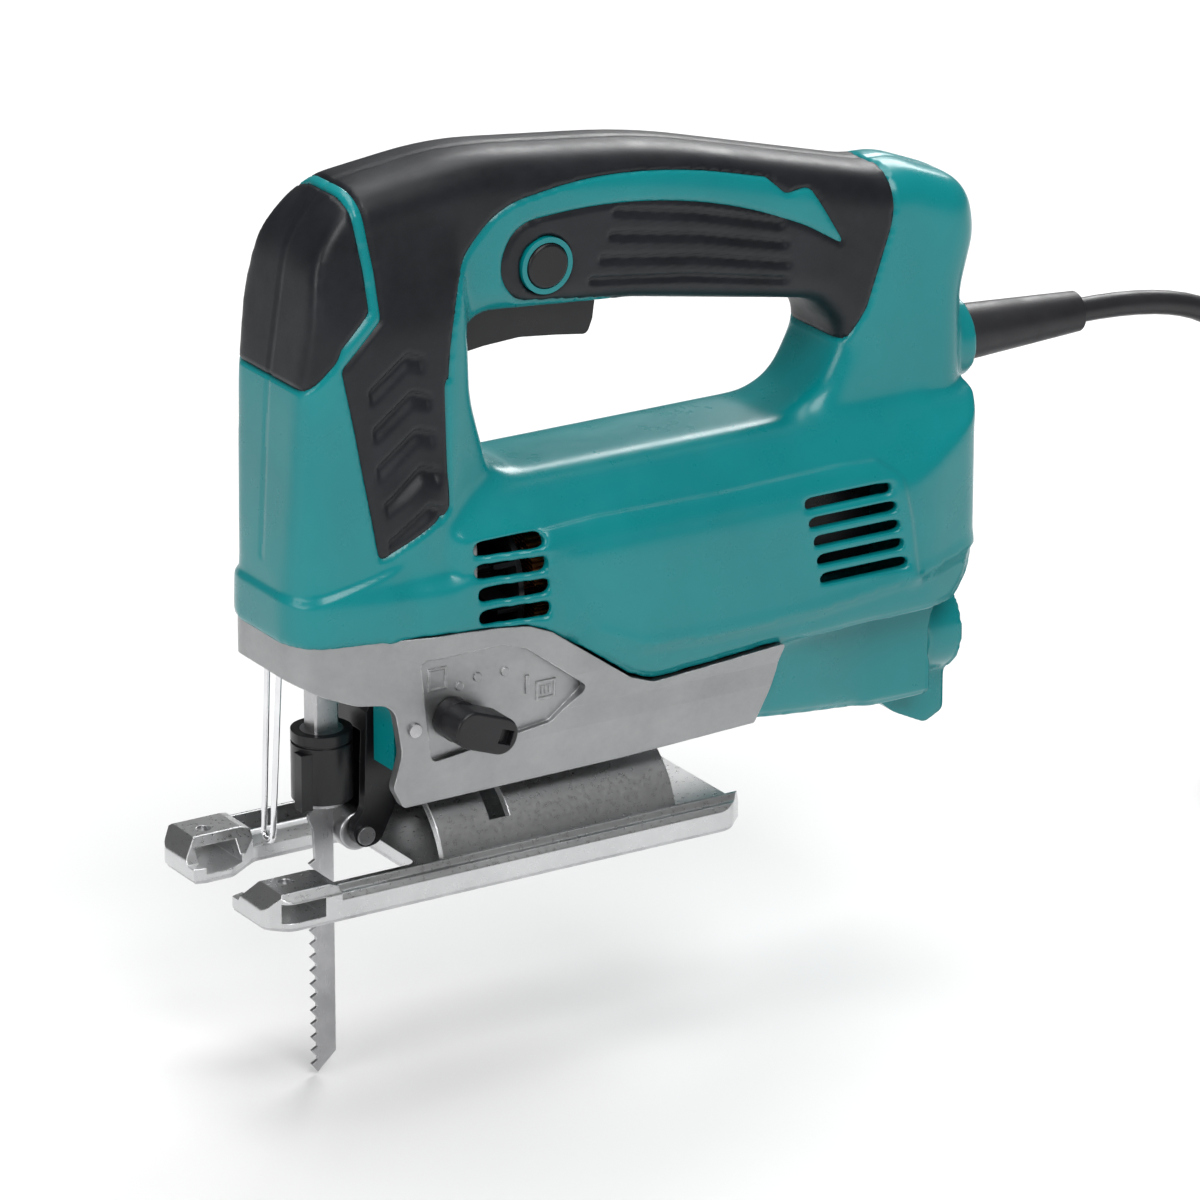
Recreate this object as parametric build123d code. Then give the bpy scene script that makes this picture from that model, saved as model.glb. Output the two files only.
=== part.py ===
"""A corded top-handle jigsaw as separate pieces, in millimetres.

+X runs to the rear (the cord end), -Y is the tool's left side (orbit lever and lock button), +Z up.
The origin is where the blade's axis crosses the sole of the shoe, which is also on the shoe's tilt axis.
"""
import math
import os

from build123d import *

# ---- driving dimensions -------------------------------------------------------------------
WALL = 3.0  # clamshell and gear housing wall
GRIP_T = 1.4  # soft overmould thickness
HANDLE_HALF = 17.0  # half the width of the handle loop
BARREL_HALF = 32.0  # half the width of the motor barrel
CASE_HALF = 28.5  # half the width of the gear housing
FRONT_X = -19.2  # front face of the head
REAR_X = 213.8  # rear face of the motor barrel
SHOE_FRONT, SHOE_REAR, SHOE_HALF = -36.5, 126.0, 35.0
SOLE_T, PLATE_TOP, RAIL_TOP, PRONG_TOP = 1.0, 4.5, 10.0, 11.0
NOTCH_FRONT_HALF, NOTCH_BLADE_HALF = 10.5, 17.6
DOME_R, DOME_T, DOME_FRONT, DOME_REAR = 29.2, 2.6, 24.0, 103.0
BOLT_X = 45.0
MOTOR_Z = 82.0
MODULE, PINION_Z, GEAR_Z, PRESSURE = 0.7, 9, 58, math.radians(25)
GEAR_AXIS_Z = MOTOR_Z + MODULE * (PINION_Z + GEAR_Z) / 2
GEAR_FRONT, GEAR_BACK = 20.5, 28.5
CRANK_R = 11.5  # half the 23 mm stroke
STROKE_DOWN = 4.0  # the plunger rests this far above the bottom of its stroke
YOKE_Z = GEAR_AXIS_Z - CRANK_R + STROKE_DOWN
ROD_X, ROD_Y = 8.0, 7.0
GUIDE_PIVOT = (-8.75, 146.0)
FORK_PIVOT = (15.0, 50.0)
ROLLER_AXIS = (9.5, 12.3)
LEVER_AXIS = (27.6, 51.3)
TRIGGER_PIVOT = (45.0, 169.0)
BUTTON_AXIS = (65.7, 178.0)
CORD_D = 7.5
CORD_Z = 126.0
GUARD_END = 262.0
DUST_Z, DUST_BORE_R, DUST_R = 37.0, 11.5, 15.5
FLOOR_Z = -63.0  # the surface under the blade tip, where the cord lies
RUN = 0.05  # running clearance of shafts, on the radius

PARTS = {}


# ---- helpers --------------------------------------------------------------------------------
def fitted(points):
    """Corner radii of a closed (u, v, radius) outline, each cut down to fit its two sides."""
    count = len(points)
    reach, share = [], [1.0] * count
    for i, (u, v, r) in enumerate(points):
        (au, av, _), (bu, bv, _) = points[i - 1], points[(i + 1) % count]
        swing = math.atan2(bv - v, bu - u) - math.atan2(v - av, u - au)
        turn = abs((swing + math.pi) % (2 * math.pi) - math.pi)
        reach.append(r * math.tan(turn / 2))
    for i in range(count):
        j = (i + 1) % count
        side = math.dist(points[i][:2], points[j][:2])
        if reach[i] + reach[j] > 0.96 * side:
            part = 0.96 * side / (reach[i] + reach[j])
            share[i], share[j] = min(share[i], part), min(share[j], part)
    return [r * s for (_, _, r), s in zip(points, share)]


def outline(points, inset=0.0):
    """A closed face through (u, v, corner radius) points, moved inwards by inset."""
    wire = FilletPolyline(*[(u, v) for u, v, _ in points], radius=fitted(points), close=True)
    face = make_face(wire)
    return offset(face, amount=-inset) if inset else face


def prism_y(points, low, high, inset=0.0):
    """An (x, z) outline between two values of y."""
    return extrude(Plane.XZ.offset(-high) * outline(points, inset), amount=high - low)


def prism_z(points, low, high, inset=0.0):
    """An (x, y) outline between two values of z."""
    return extrude(Plane.XY.offset(low) * outline(points, inset), amount=high - low)


def prism_x(points, low, high, inset=0.0):
    """A (y, z) outline between two values of x."""
    return extrude(Plane.YZ.offset(low) * outline(points, inset), amount=high - low)


def mirrored(points):
    """Closes a half outline of (u, v, r), given for u < 0 from bottom to top, with its mirror image."""
    return points + [(-u, v, r) for u, v, r in reversed(points)]


def plan(points):
    """Closes a half outline of (x, y, r), given for y < 0 from front to rear, with its mirror image."""
    return points + [(x, -y, r) for x, y, r in reversed(points)]


def box(x, y, z):
    """A box from three (low, high) pairs."""
    size = [high - low for low, high in (x, y, z)]
    middle = [(high + low) / 2 for low, high in (x, y, z)]
    return Pos(*middle) * Box(*size)


def rod_x(r, low, high, y=0.0, z=0.0):
    return Pos((low + high) / 2, y, z) * Rot(0, 90, 0) * Cylinder(r, high - low)


def rod_y(r, low, high, x=0.0, z=0.0):
    return Pos(x, (low + high) / 2, z) * Rot(90, 0, 0) * Cylinder(r, high - low)


def rod_z(r, low, high, x=0.0, y=0.0):
    return Pos(x, y, (low + high) / 2) * Cylinder(r, high - low)


def keep(name, shape):
    """Writes one sub-part; a node made of several pieces is a compound of solids."""
    solids = shape.solids()
    whole = solids[0] if len(solids) == 1 else Compound(children=list(solids))
    whole.label = name
    PARTS[name] = whole


# ---- outer form of the clamshell ----------------------------------------------------------
HANDLE_OUTER = [
    (FRONT_X, 96.0, 0), (-16.2, 152.0, 60), (-9.8, 193.5, 24), (3.0, 208.8, 12), (42.0, 213.4, 120),
    (108.0, 206.0, 240), (184.0, 186.0, 30), (192.5, 186.4, 16), (216.5, 177.0, 14), (218.2, 161.0, 12),
    (213.6, 144.0, 12), (REAR_X, 100.0, 0), (120.0, 100.0, 0),
]
HAND_HOLE = [
    (39.0, 166.5, 9), (40.6, 143.0, 30), (46.0, 121.5, 10), (62.0, 114.6, 14), (141.0, 114.0, 20),
    (160.5, 121.5, 16), (169.8, 139.0, 9), (160.0, 150.0, 9), (95.0, 161.6, 60),
]
HEAD_SIDE = [
    (FRONT_X, 50.0, 0), (FRONT_X, 90.0, 0.5), (-16.2, 152.0, 60), (-9.8, 193.5, 24), (3.0, 206.0, 12),
    (34.0, 208.0, 0), (38.6, 168.0, 0), (40.0, 143.0, 30), (49.0, 116.0, 0), (49.0, 50.0, 0),
]
HEAD_PLAN = plan([(FRONT_X, -20.6, 13), (24.0, -26.5, 24), (49.5, -15.0, 0)])
HEAD_SECTION = mirrored([
    (-30.0, 50.0, 0), (-30.0, 104.0, 20), (-23.6, 124.0, 24), (-22.6, 168.0, 24), (-15.0, 208.0, 9),
])
BARREL_SIDE = [
    (30.0, 122.0, 0), (56.0, 116.6, 10), (150.0, 116.2, 8), (166.0, 127.0, 6), (REAR_X, 127.0, 0),
    (REAR_X, 70.0, 12), (209.5, 60.0, 8), (203.0, 53.0, 3), (140.0, 51.5, 0), (131.0, 27.0, 0),
    (30.0, 20.0, 0),
]
BARREL_PLAN = plan([
    (30.0, -26.5, 0), (64.0, -BARREL_HALF, 40), (188.0, -BARREL_HALF, 40), (REAR_X, -23.0, 12),
])
BARREL_SECTION = mirrored([
    (-23.0, 16.0, 3), (-27.5, 43.0, 10), (-BARREL_HALF, 60.0, 12), (-BARREL_HALF, 97.0, 17), (-17.5, 116.8, 14),
])
TAIL_SIDE = [
    (126.0, 27.0, 0), (134.0, 74.0, 0), (204.0, 74.0, 0), (203.0, 53.0, 0), (200.0, 44.0, 0),
    (200.0, 20.0, 0), (181.0, 20.0, 6), (132.0, 26.9, 0),
]
TAIL_PLAN = plan([(120.0, -27.4, 0), (134.0, -27.0, 30), (174.0, -18.5, 60), (206.0, -16.8, 0)])
TAIL_SECTION = mirrored([(-12.0, 16.0, 4), (-21.5, 26.0, 10), (-27.2, 44.0, 12), (-27.2, 76.0, 0)])
CASE_PLAN = plan([(FRONT_X, -21.5, 13), (22.0, -CASE_HALF, 24), (141.0, -CASE_HALF, 0)])
CASE_SECTION = mirrored([(-25.8, 18.0, 0), (-28.6, 41.0, 8), (-28.6, 92.0, 0)])
CASE_SIDE = [
    (FRONT_X, 18.0, 0), (FRONT_X, 92.0, 0), (141.0, 92.0, 0), (141.0, 54.0, 0), (130.9, 27.0, 0),
    (130.0, 18.0, 0),
]

# the seam between the clamshell and the gear housing, seen from the side
SEAM = [
    (-7.0, 78.6, 20), (30.0, 76.9, 30), (52.0, 75.2, 8), (59.0, 72.4, 4), (86.0, 52.9, 5),
    (94.5, 49.4, 8), (112.0, 50.6, 20), (139.8, 52.7, 1), (136.4, 41.0, 8), (130.8, 28.6, 1),
]
GEAR_CASE = [(-25.0, 79.0, 0)] + SEAM + [
    (85.0, 27.0, 60), (11.6, 26.5, 1.5), (8.6, 32.6, 4), (11.4, 43.0, 10), (9.0, 58.4, 6), (-2.0, 59.6, 10),
    (-12.0, 63.6, 12), (-25.0, 70.5, 0),
]
BELOW_SEAM = [(-25.0, 79.0, 0)] + SEAM + [(130.8, 0.0, 0), (-25.0, 0.0, 0)]


def handle_form(inset):
    """The handle loop: the whole side outline less the hand hole, with well rounded edges."""
    half = HANDLE_HALF - inset
    outer = prism_y(HANDLE_OUTER, -half, half, inset)
    outer = fillet(outer.edges().filter_by(lambda e: abs(e.center().Y) > half - 0.01), 11.0 - inset)
    hole = prism_y(HAND_HOLE, -half, half, -inset)
    form = outer - hole
    rim = [
        e for e in form.edges()
        if abs(abs(e.center().Y) - half) < 0.01 and 36 < e.center().X < 174 and 111 < e.center().Z < 172
    ]
    return fillet(rim, 7.0 - inset)


def body_form(inset):
    """The outside of the whole body, moved inwards by inset."""
    head = (
        prism_y(HEAD_SIDE, -40, 40, inset)
        & prism_z(HEAD_PLAN, 40, 220, inset)
        & prism_x(HEAD_SECTION, -30, 60, inset)
    )
    barrel = (
        prism_y(BARREL_SIDE, -40, 40, inset)
        & prism_z(BARREL_PLAN, 10, 140, inset)
        & prism_x(BARREL_SECTION, 20, 220, inset)
    )
    tail = (
        prism_y(TAIL_SIDE, -40, 40, inset)
        & prism_z(TAIL_PLAN, 10, 80, inset)
        & prism_x(TAIL_SECTION, 110, 220, inset)
    )
    case = (
        prism_y(CASE_SIDE, -40, 40, inset)
        & prism_z(CASE_PLAN, 10, 100, inset)
        & prism_x(CASE_SECTION, -30, 150, inset)
    )
    return handle_form(inset) + head + barrel + tail + case


# ---- clamshell halves, soft grips and nose pad ----------------------------------------------
OUTSIDE = body_form(0.0)
SKIN = OUTSIDE - body_form(GRIP_T)
CAVITY = body_form(WALL)

GRIP_AREA = [
    (6.2, 101.5, 2), (-0.8, 141.0, 8), (-4.6, 160.2, 3), (8.8, 172.6, 3), (8.2, 186.0, 12),
    (6.2, 203.0, 8), (2.4, 225.0, 0), (184.5, 225.0, 0), (185.2, 172.0, 30), (176.0, 146.0, 10),
    (169.0, 136.0, 4), (160.0, 139.0, 4), (120.0, 130.0, 0), (38.0, 140.0, 0), (33.0, 160.0, 10),
    (28.6, 150.0, 6), (29.6, 113.0, 3),
]
CRESCENT = [
    (30.0, 150.0, 0), (32.5, 166.0, 10), (39.0, 181.0, 30), (54.0, 195.5, 20), (80.0, 201.5, 60),
    (112.0, 199.3, 40), (141.5, 191.6, 2), (147.5, 185.6, 3), (156.0, 186.5, 4), (168.2, 166.5, 1),
    (154.6, 174.8, 10), (127.0, 187.0, 60), (86.0, 192.8, 60), (58.0, 188.4, 12), (50.0, 177.0, 8),
    (56.5, 169.4, 4), (90.0, 163.2, 0), (90.0, 150.0, 0),
]
NOSE_AREA = [
    (-25.0, 152.0, 0), (-14.5, 152.6, 6), (-7.0, 161.0, 4), (-5.0, 165.8, 2), (5.4, 175.2, 3),
    (4.8, 187.0, 12), (2.8, 203.4, 8), (-1.2, 225.0, 0), (-25.0, 225.0, 0),
]
ARM = prism_y(GRIP_AREA, -40, 40) - prism_y(CRESCENT, -40, 40)
GRIP = SKIN & ARM
NOSE = SKIN & prism_y(NOSE_AREA, -40, 40)

SHELL = OUTSIDE - CAVITY - prism_y(BELOW_SEAM, -40, 40)

# tail: dust port tube and the bracket under it, gland ring round the cord guard
TAIL = rod_x(DUST_R, 192, 213, z=DUST_Z) + rod_x(12.6, 210, 218.4, z=CORD_Z)
TAIL += prism_y([
    (182.0, 19.0, 1), (190.0, 26.0, 0), (213.0, 26.0, 0.5), (212.6, 9.4, 2), (206.0, 6.2, 2),
    (195.0, 11.6, 8), (187.0, 18.4, 3),
], -6.5, 6.5)
TAIL -= rod_x(DUST_BORE_R, 185, 220, z=DUST_Z)

# ribs that hold the motor: three frames inside the barrel
RIBS = Part()
for x, r in ((64.0, 27.6), (95.0, 27.6), (128.6, 9.55)):
    RIBS += (CAVITY & box((x, x + 4), (-31, 31), (20, 116))) - rod_x(r, x - 1, x + 5, z=MOTOR_Z)
RIBS -= prism_y(BELOW_SEAM, -40, 40)

# screw bosses across the clamshell
BOSSES = [
    (-1.0, 178.0), (30.0, 196.0), (104.0, 184.0), (168.0, 172.0),
    (198.0, 150.0), (203.0, 92.0), (176.0, 38.0), (148.0, 46.0),
]
BOSS_R, SCREW_R = 4.2, 1.9
BOSS = Part()
for x, z in BOSSES:
    BOSS += rod_y(BOSS_R, -35, 35, x, z) & OUTSIDE

CLAM = SHELL + TAIL + RIBS + BOSS - GRIP - NOSE
CLAM -= rod_x(DUST_BORE_R, 185, 220, z=DUST_Z)
for x, z in BOSSES:
    CLAM -= rod_y(SCREW_R, -9, 40, x, z)
    CLAM -= rod_y(3.6, 10, 40, x, z)

# cooling slots in both sides
for side in (-1, 1):
    y = sorted((side * 24, side * 40))
    for i in range(5):
        CLAM -= box((145.3 + 1.4 * i, 175.8 + 1.4 * i), y, (93.1 - 6.0 * i, 96.3 - 6.0 * i))
    for i in range(4):
        CLAM -= box((35.4 + 0.5 * i, 57.5 + 0.5 * i), y, (98.2 - 6.9 * i, 102.6 - 6.9 * i))
for i in range(4):
    CLAM -= box((205, 220), (-9, 9), (72.0 + 7.5 * i, 75.0 + 7.5 * i))

# openings: trigger slot, lock button, cord guard, pivot and pins
BUTTON_R, BUTTON_RING_R, TRIGGER_HALF = 6.6, 8.4, 8.2
TRIGGER_SLOT = box((40.6, 88.6), (-9.0, 9.0), (150, 175))
CLAM -= TRIGGER_SLOT
GRIP -= TRIGGER_SLOT
CLAM -= rod_y(BUTTON_RING_R, -20, -10, *BUTTON_AXIS)
CLAM -= rod_x(9.0, 200, 225, z=CORD_Z)
GRIP -= rod_y(BUTTON_RING_R, -20, -10, *BUTTON_AXIS)
for x, z in (GUIDE_PIVOT, TRIGGER_PIVOT):
    CLAM += (rod_y(3.4, -30, -11.4, x, z) + rod_y(3.4, 11.4, 30, x, z)) & CAVITY
CLAM -= rod_y(1.5, -17.5, 17.5, *GUIDE_PIVOT)
CLAM -= rod_y(1.5, -13.5, 13.5, *TRIGGER_PIVOT)

HALF_SPACE = {
    "left": box((-60, 260), (-60, 0), (-20, 260)),
    "right": box((-60, 260), (0, 60), (-20, 260)),
}


def biggest(shape, at_least=60.0):
    """Drops the crumbs that trimming thin skins leaves."""
    solids = [s for s in shape.solids() if s.volume > at_least]
    return Compound(children=solids) if len(solids) > 1 else Part(solids[0].wrapped)


def make_shell():
    for side, half in HALF_SPACE.items():
        keep(f"housing_{side}", biggest(CLAM & half, 400))
        keep(f"grip_{side}", biggest(GRIP & half))
    keep("nose_pad", biggest(NOSE))
    screws = Part()
    for x, z in BOSSES:
        screws += rod_y(SCREW_R, -8.8, 10, x, z) + rod_y(3.4, 10, 12.4, x, z)
        screws -= rod_y(1.3, 11.2, 13, x, z)
    keep("housing_screws", screws)
    ring = rod_y(BUTTON_RING_R, -17.9, -14.6, *BUTTON_AXIS)
    ring -= rod_y(BUTTON_R + 0.25, -19, -13, *BUTTON_AXIS)
    keep("button_ring", ring)


# ---- gear housing --------------------------------------------------------------------------
RECESS = [
    (17.0, 70.4, 2), (44.0, 70.6, 3), (51.0, 68.6, 4), (72.0, 52.6, 2), (60.0, 43.8, 3), (51.5, 42.8, 5),
    (20.2, 39.2, 2),
]
CASE_SCREWS = [(118.0, -21.0), (118.0, 21.0), (50.0, -22.2), (50.0, 22.2)]
FLOOR_LOW, FLOOR_HIGH = 37.6, 40.2
SADDLE_R = DOME_R + 0.4


def make_gear_housing():
    case = (OUTSIDE - CAVITY) & prism_y(GEAR_CASE, -BARREL_HALF + 0.6, BARREL_HALF - 0.6)
    inner = CAVITY & prism_y(GEAR_CASE, -40, 40)
    case += inner & box((22, 128), (-30, 30), (FLOOR_LOW, FLOOR_HIGH))
    case += inner & box((125.5, 128.5), (-30, 30), (30, 51))
    # visor floor with the plunger's opening
    case += (inner & box((-20, 18), (-30, 30), (64.6, 66.6))) - rod_z(7.2, 60, 70)
    # saddle over the tilt dome: a wedge that the tilted shoe passes on either side
    wedge = prism_x([(0, 0, 0), (18.6, 39.2, 0), (-18.6, 39.2, 0)], DOME_FRONT + 0.5, DOME_REAR)
    case += wedge - rod_x(SADDLE_R, 0, 140)
    case += rod_z(7.0, 30, 46, x=BOLT_X)
    # bulkhead with the front bearing seat and the gear pin, on the floor
    plate = prism_x(mirrored([(-19.0, 38.0, 0), (-19.0, 100.0, 12), (-9.0, 114.5, 8)]), 35.2, 41.2)
    case += plate
    case -= rod_x(11.0, 35, 42, z=MOTOR_Z)
    case -= rod_x(4.0, 30, 42, z=GEAR_AXIS_Z)
    # lever recess in the left wall, with the marks round it
    recess = prism_y(RECESS, -40, -26.6)
    case += prism_y(RECESS, -26.6, -23.2, -1.2) & CAVITY
    case -= recess
    for x, z in ((30.4, 60.2), (36.4, 61.8), (45.6, 61.6)):
        case += rod_y(1.3, -27.1, -26.5, x, z)
    case += box((52.4, 53.6), (-27.1, -26.5), (53.4, 59.0))
    case += box((19.9, 26.2), (-27.0, -26.5), (60.4, 67.2)) - box((20.6, 25.5), (-28, -26), (61.1, 66.5))
    case += box((56.0, 62.6), (-27.0, -26.5), (50.6, 56.4)) - box((56.7, 61.9), (-28, -26), (51.3, 55.7))
    for x in (58.0, 59.3, 60.6):
        case += box((x - 0.3, x + 0.3), (-27.0, -26.5), (52.2, 54.8))
    # bores
    case -= rod_y(5.0 + RUN, -40, -20, *LEVER_AXIS)
    case -= rod_y(2.0, -40, 40, *FORK_PIVOT)
    for x, y in CASE_SCREWS:
        case += rod_z(3.6, FLOOR_HIGH - 1, 48, x=x, y=y)
        case -= rod_z(2.0, 20, 60, x=x, y=y) + rod_z(3.1, 30, FLOOR_LOW, x=x, y=y)
    case -= rod_z(3.0, 20, 60, x=BOLT_X)
    for y in (-3.4, 3.4):
        case -= rod_z(0.9, 58, 80, x=-15.6, y=y)
    keep("gear_housing", biggest(case, 30))
    screws = Part()
    for x, y in CASE_SCREWS:
        screws += rod_z(2.0, FLOOR_LOW, 47, x=x, y=y) + rod_z(3.0, 35.4, FLOOR_LOW, x=x, y=y)
    keep("gear_housing_screws", screws)
    keep("fork_pin", rod_y(2.0, -28.4, 28.4, *FORK_PIVOT))
    keep("gear_pin", rod_x(4.0, 21.4, 41.2, z=GEAR_AXIS_Z))
    seal = rod_z(7.2, 64.8, 66.4) - box((-5.9, 4.5), (-3.8, 3.8), (60, 70))
    keep("plunger_seal", seal)
    panel = box((11.6, 13.8), (-21.5, 21.5), (56.4, 64.6))
    for y in ((-21.5, -10.0), (10.0, 21.5)):
        panel += box((11.6, 13.8), y, (36.0, 57.0))
    panel -= box((11.0, 12.2), (1.4, 2.2), (30, 70))
    panel -= rod_y(2.6, -30, 30, *FORK_PIVOT)
    keep("air_duct", panel)


def make_wire_guard():
    top, knee, low, spread, narrow = 76.0, 66.0, 13.9, 3.4, 2.6
    leg = [(-15.6, -spread, top), (-15.6, -spread, knee), (-18.0, -narrow, low)]
    points = leg + [(x, -y, z) for x, y, z in reversed(leg)]
    path = FilletPolyline(*points, radius=[6.0, 2.5, 2.5, 6.0])
    section = Plane(origin=points[0], z_dir=(0, 0, -1)) * Circle(0.9)
    keep("wire_guard", sweep(section, path=path))


# ---- motor ---------------------------------------------------------------------------------
STACK = (63.0, 99.0)


def ring_x(outer, inner, low, high, z=MOTOR_Z):
    return rod_x(outer, low, high, z=z) - rod_x(inner, low - 1, high + 1, z=z)


def make_motor():
    stator = ring_x(27.4, 17.2, *STACK)
    for y in (-1, 1):
        stator -= box((50, 110), sorted((y * 26.0, y * 30)), (70, 94))
    for side in (-1, 1):
        for z in (-10.5, 10.5):
            stator -= rod_x(3.2, 50, 110, y=side * 18.5, z=MOTOR_Z + z)
    keep("field_stator", stator)
    coils = Part()
    for low, high in ((57.0, 62.8), (99.2, 105.0)):
        ring = ring_x(25.0, 18.0, low, high)
        coils += ring - box((50, 110), (-30, 30), (79, 85))
    keep("field_coils", coils)
    keep("front_bearing", ring_x(11.0, 4.0, 35.2, 41.2))
    keep("rear_bearing", ring_x(9.55, 4.0, 128.8, 132.4))
    holders, brushes = Part(), Part()
    for side in (-1, 1):
        y = sorted((side * 14.0, side * 28.0))
        holders += box((110, 120), y, (76, 88)) - box((112.4, 117.6), (-40, 40), (77.9, 86.1))
        y = sorted((side * 11.3, side * 24.0))
        brushes += box((112.5, 117.5), y, (78.0, 86.0)) - rod_x(11.3, 105, 125, z=MOTOR_Z)
    keep("brush_holders", holders)
    keep("carbon_brushes", brushes)

    shaft = rod_x(3.5, 29.4, 35.0, z=MOTOR_Z) + rod_x(4.0 - RUN, 35.0, 133.0, z=MOTOR_Z)
    shaft += gear(PINION_Z, 20.7, 29.4, MOTOR_Z, 90.0)
    keep("armature_shaft", shaft)
    core = ring_x(16.6, 4.0 - RUN, *STACK)
    for i in range(12):
        core -= Pos(0, 0, MOTOR_Z) * Rot(30 * i, 0, 0) * box((60, 102), (-0.9, 0.9), (12.5, 18))
    keep("armature_core", core)
    ends = ring_x(14.6, 4.0 - RUN, 57.4, 63.0) + ring_x(14.6, 4.0 - RUN, 99.0, 105.4)
    keep("armature_windings", ends)
    segments = ring_x(11.0, 4.0 - RUN, 108.0, 122.0)
    for i in range(24):
        segments -= Pos(0, 0, MOTOR_Z) * Rot(15 * i, 0, 0) * box((107, 123), (-0.3, 0.3), (10.2, 12))
    keep("commutator", segments)
    fan = ring_x(24.0, 4.0 - RUN, 52.2, 54.0) + ring_x(8.0, 4.0 - RUN, 44.5, 54.0)
    blade = box((45.2, 52.4), (-0.7, 0.7), (7.5, 23.8))
    for i in range(11):
        fan += Pos(0, 0, MOTOR_Z) * Rot(360 / 11 * i, 0, 0) * blade
    keep("fan", fan)


def gear(teeth, low, high, z, tooth_at, bore=0.0):
    """An involute spur gear on an axis along X, with a tooth centred tooth_at degrees from +Y."""
    pitch_r = MODULE * teeth / 2
    base_r = pitch_r * math.cos(PRESSURE)
    tip_r, root_r = pitch_r + 0.8 * MODULE, pitch_r - 0.92 * MODULE
    backlash = 0.04
    half = math.pi / (2 * teeth) - backlash / pitch_r
    flank_at_base = half + math.tan(PRESSURE) - PRESSURE

    def flank(r):
        a = math.acos(min(1.0, base_r / r))
        return flank_at_base - (math.tan(a) - a)

    start = max(base_r, root_r)
    radii = [start + (tip_r - start) * k / 4 for k in range(5)]
    if base_r > root_r:
        radii.insert(0, root_r)
    points = []
    for tooth in range(teeth):
        centre = math.radians(tooth_at) + 2 * math.pi * tooth / teeth
        side = [(r, flank(max(r, base_r))) for r in radii]
        for r, a in side:
            points.append((r * math.cos(centre - a), r * math.sin(centre - a)))
        for r, a in reversed(side):
            points.append((r * math.cos(centre + a), r * math.sin(centre + a)))
    face = make_face(Polyline(*points, close=True))
    if bore:
        face -= Circle(bore)
    return extrude(Plane.YZ.offset(low) * Pos(0, z) * face, amount=high - low)


def make_drive():
    wheel = gear(GEAR_Z, GEAR_FRONT, GEAR_BACK, GEAR_AXIS_Z, -90 + 180 / GEAR_Z, bore=4.0 + RUN)
    wheel += ring_x(8.0, 4.0 + RUN, 28.5, 34.6, z=GEAR_AXIS_Z)
    wheel -= ring_x(17.0, 9.5, 26.6, 29.0, z=GEAR_AXIS_Z)
    lift = math.asin((YOKE_Z - GEAR_AXIS_Z) / CRANK_R)
    pin_y, pin_z = CRANK_R * math.cos(lift), YOKE_Z
    wheel -= rod_x(3.0, 18, 30, y=pin_y, z=pin_z)
    keep("drive_gear", wheel)
    keep("crank_pin", rod_x(3.0, 10.0, 26.0, y=pin_y, z=pin_z))
    weight = ring_x(19.4, 8.5, 16.6, GEAR_FRONT, z=GEAR_AXIS_Z)
    turn = math.degrees(math.atan2(pin_z - GEAR_AXIS_Z, pin_y))
    cut = Pos(0, 0, GEAR_AXIS_Z) * Rot(turn, 0, 0) * box((15, 22), (-6.0, 30), (-30, 30))
    keep("balance_weight", weight - cut)


# ---- plunger, guide and blade --------------------------------------------------------------
CLAMP_LOW, CLAMP_HIGH, CLAMP_R, HOLDER_R = 24.0, 45.0, 9.0, 6.3
TOOTH_PITCH, BLADE_T = 4.2, 1.4


def rod_hole(low, high, clear):
    half_x, half_y = ROD_X / 2 + clear, ROD_Y / 2 + clear
    return box((-half_x, half_x), (-half_y, half_y), (low, high))


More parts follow.
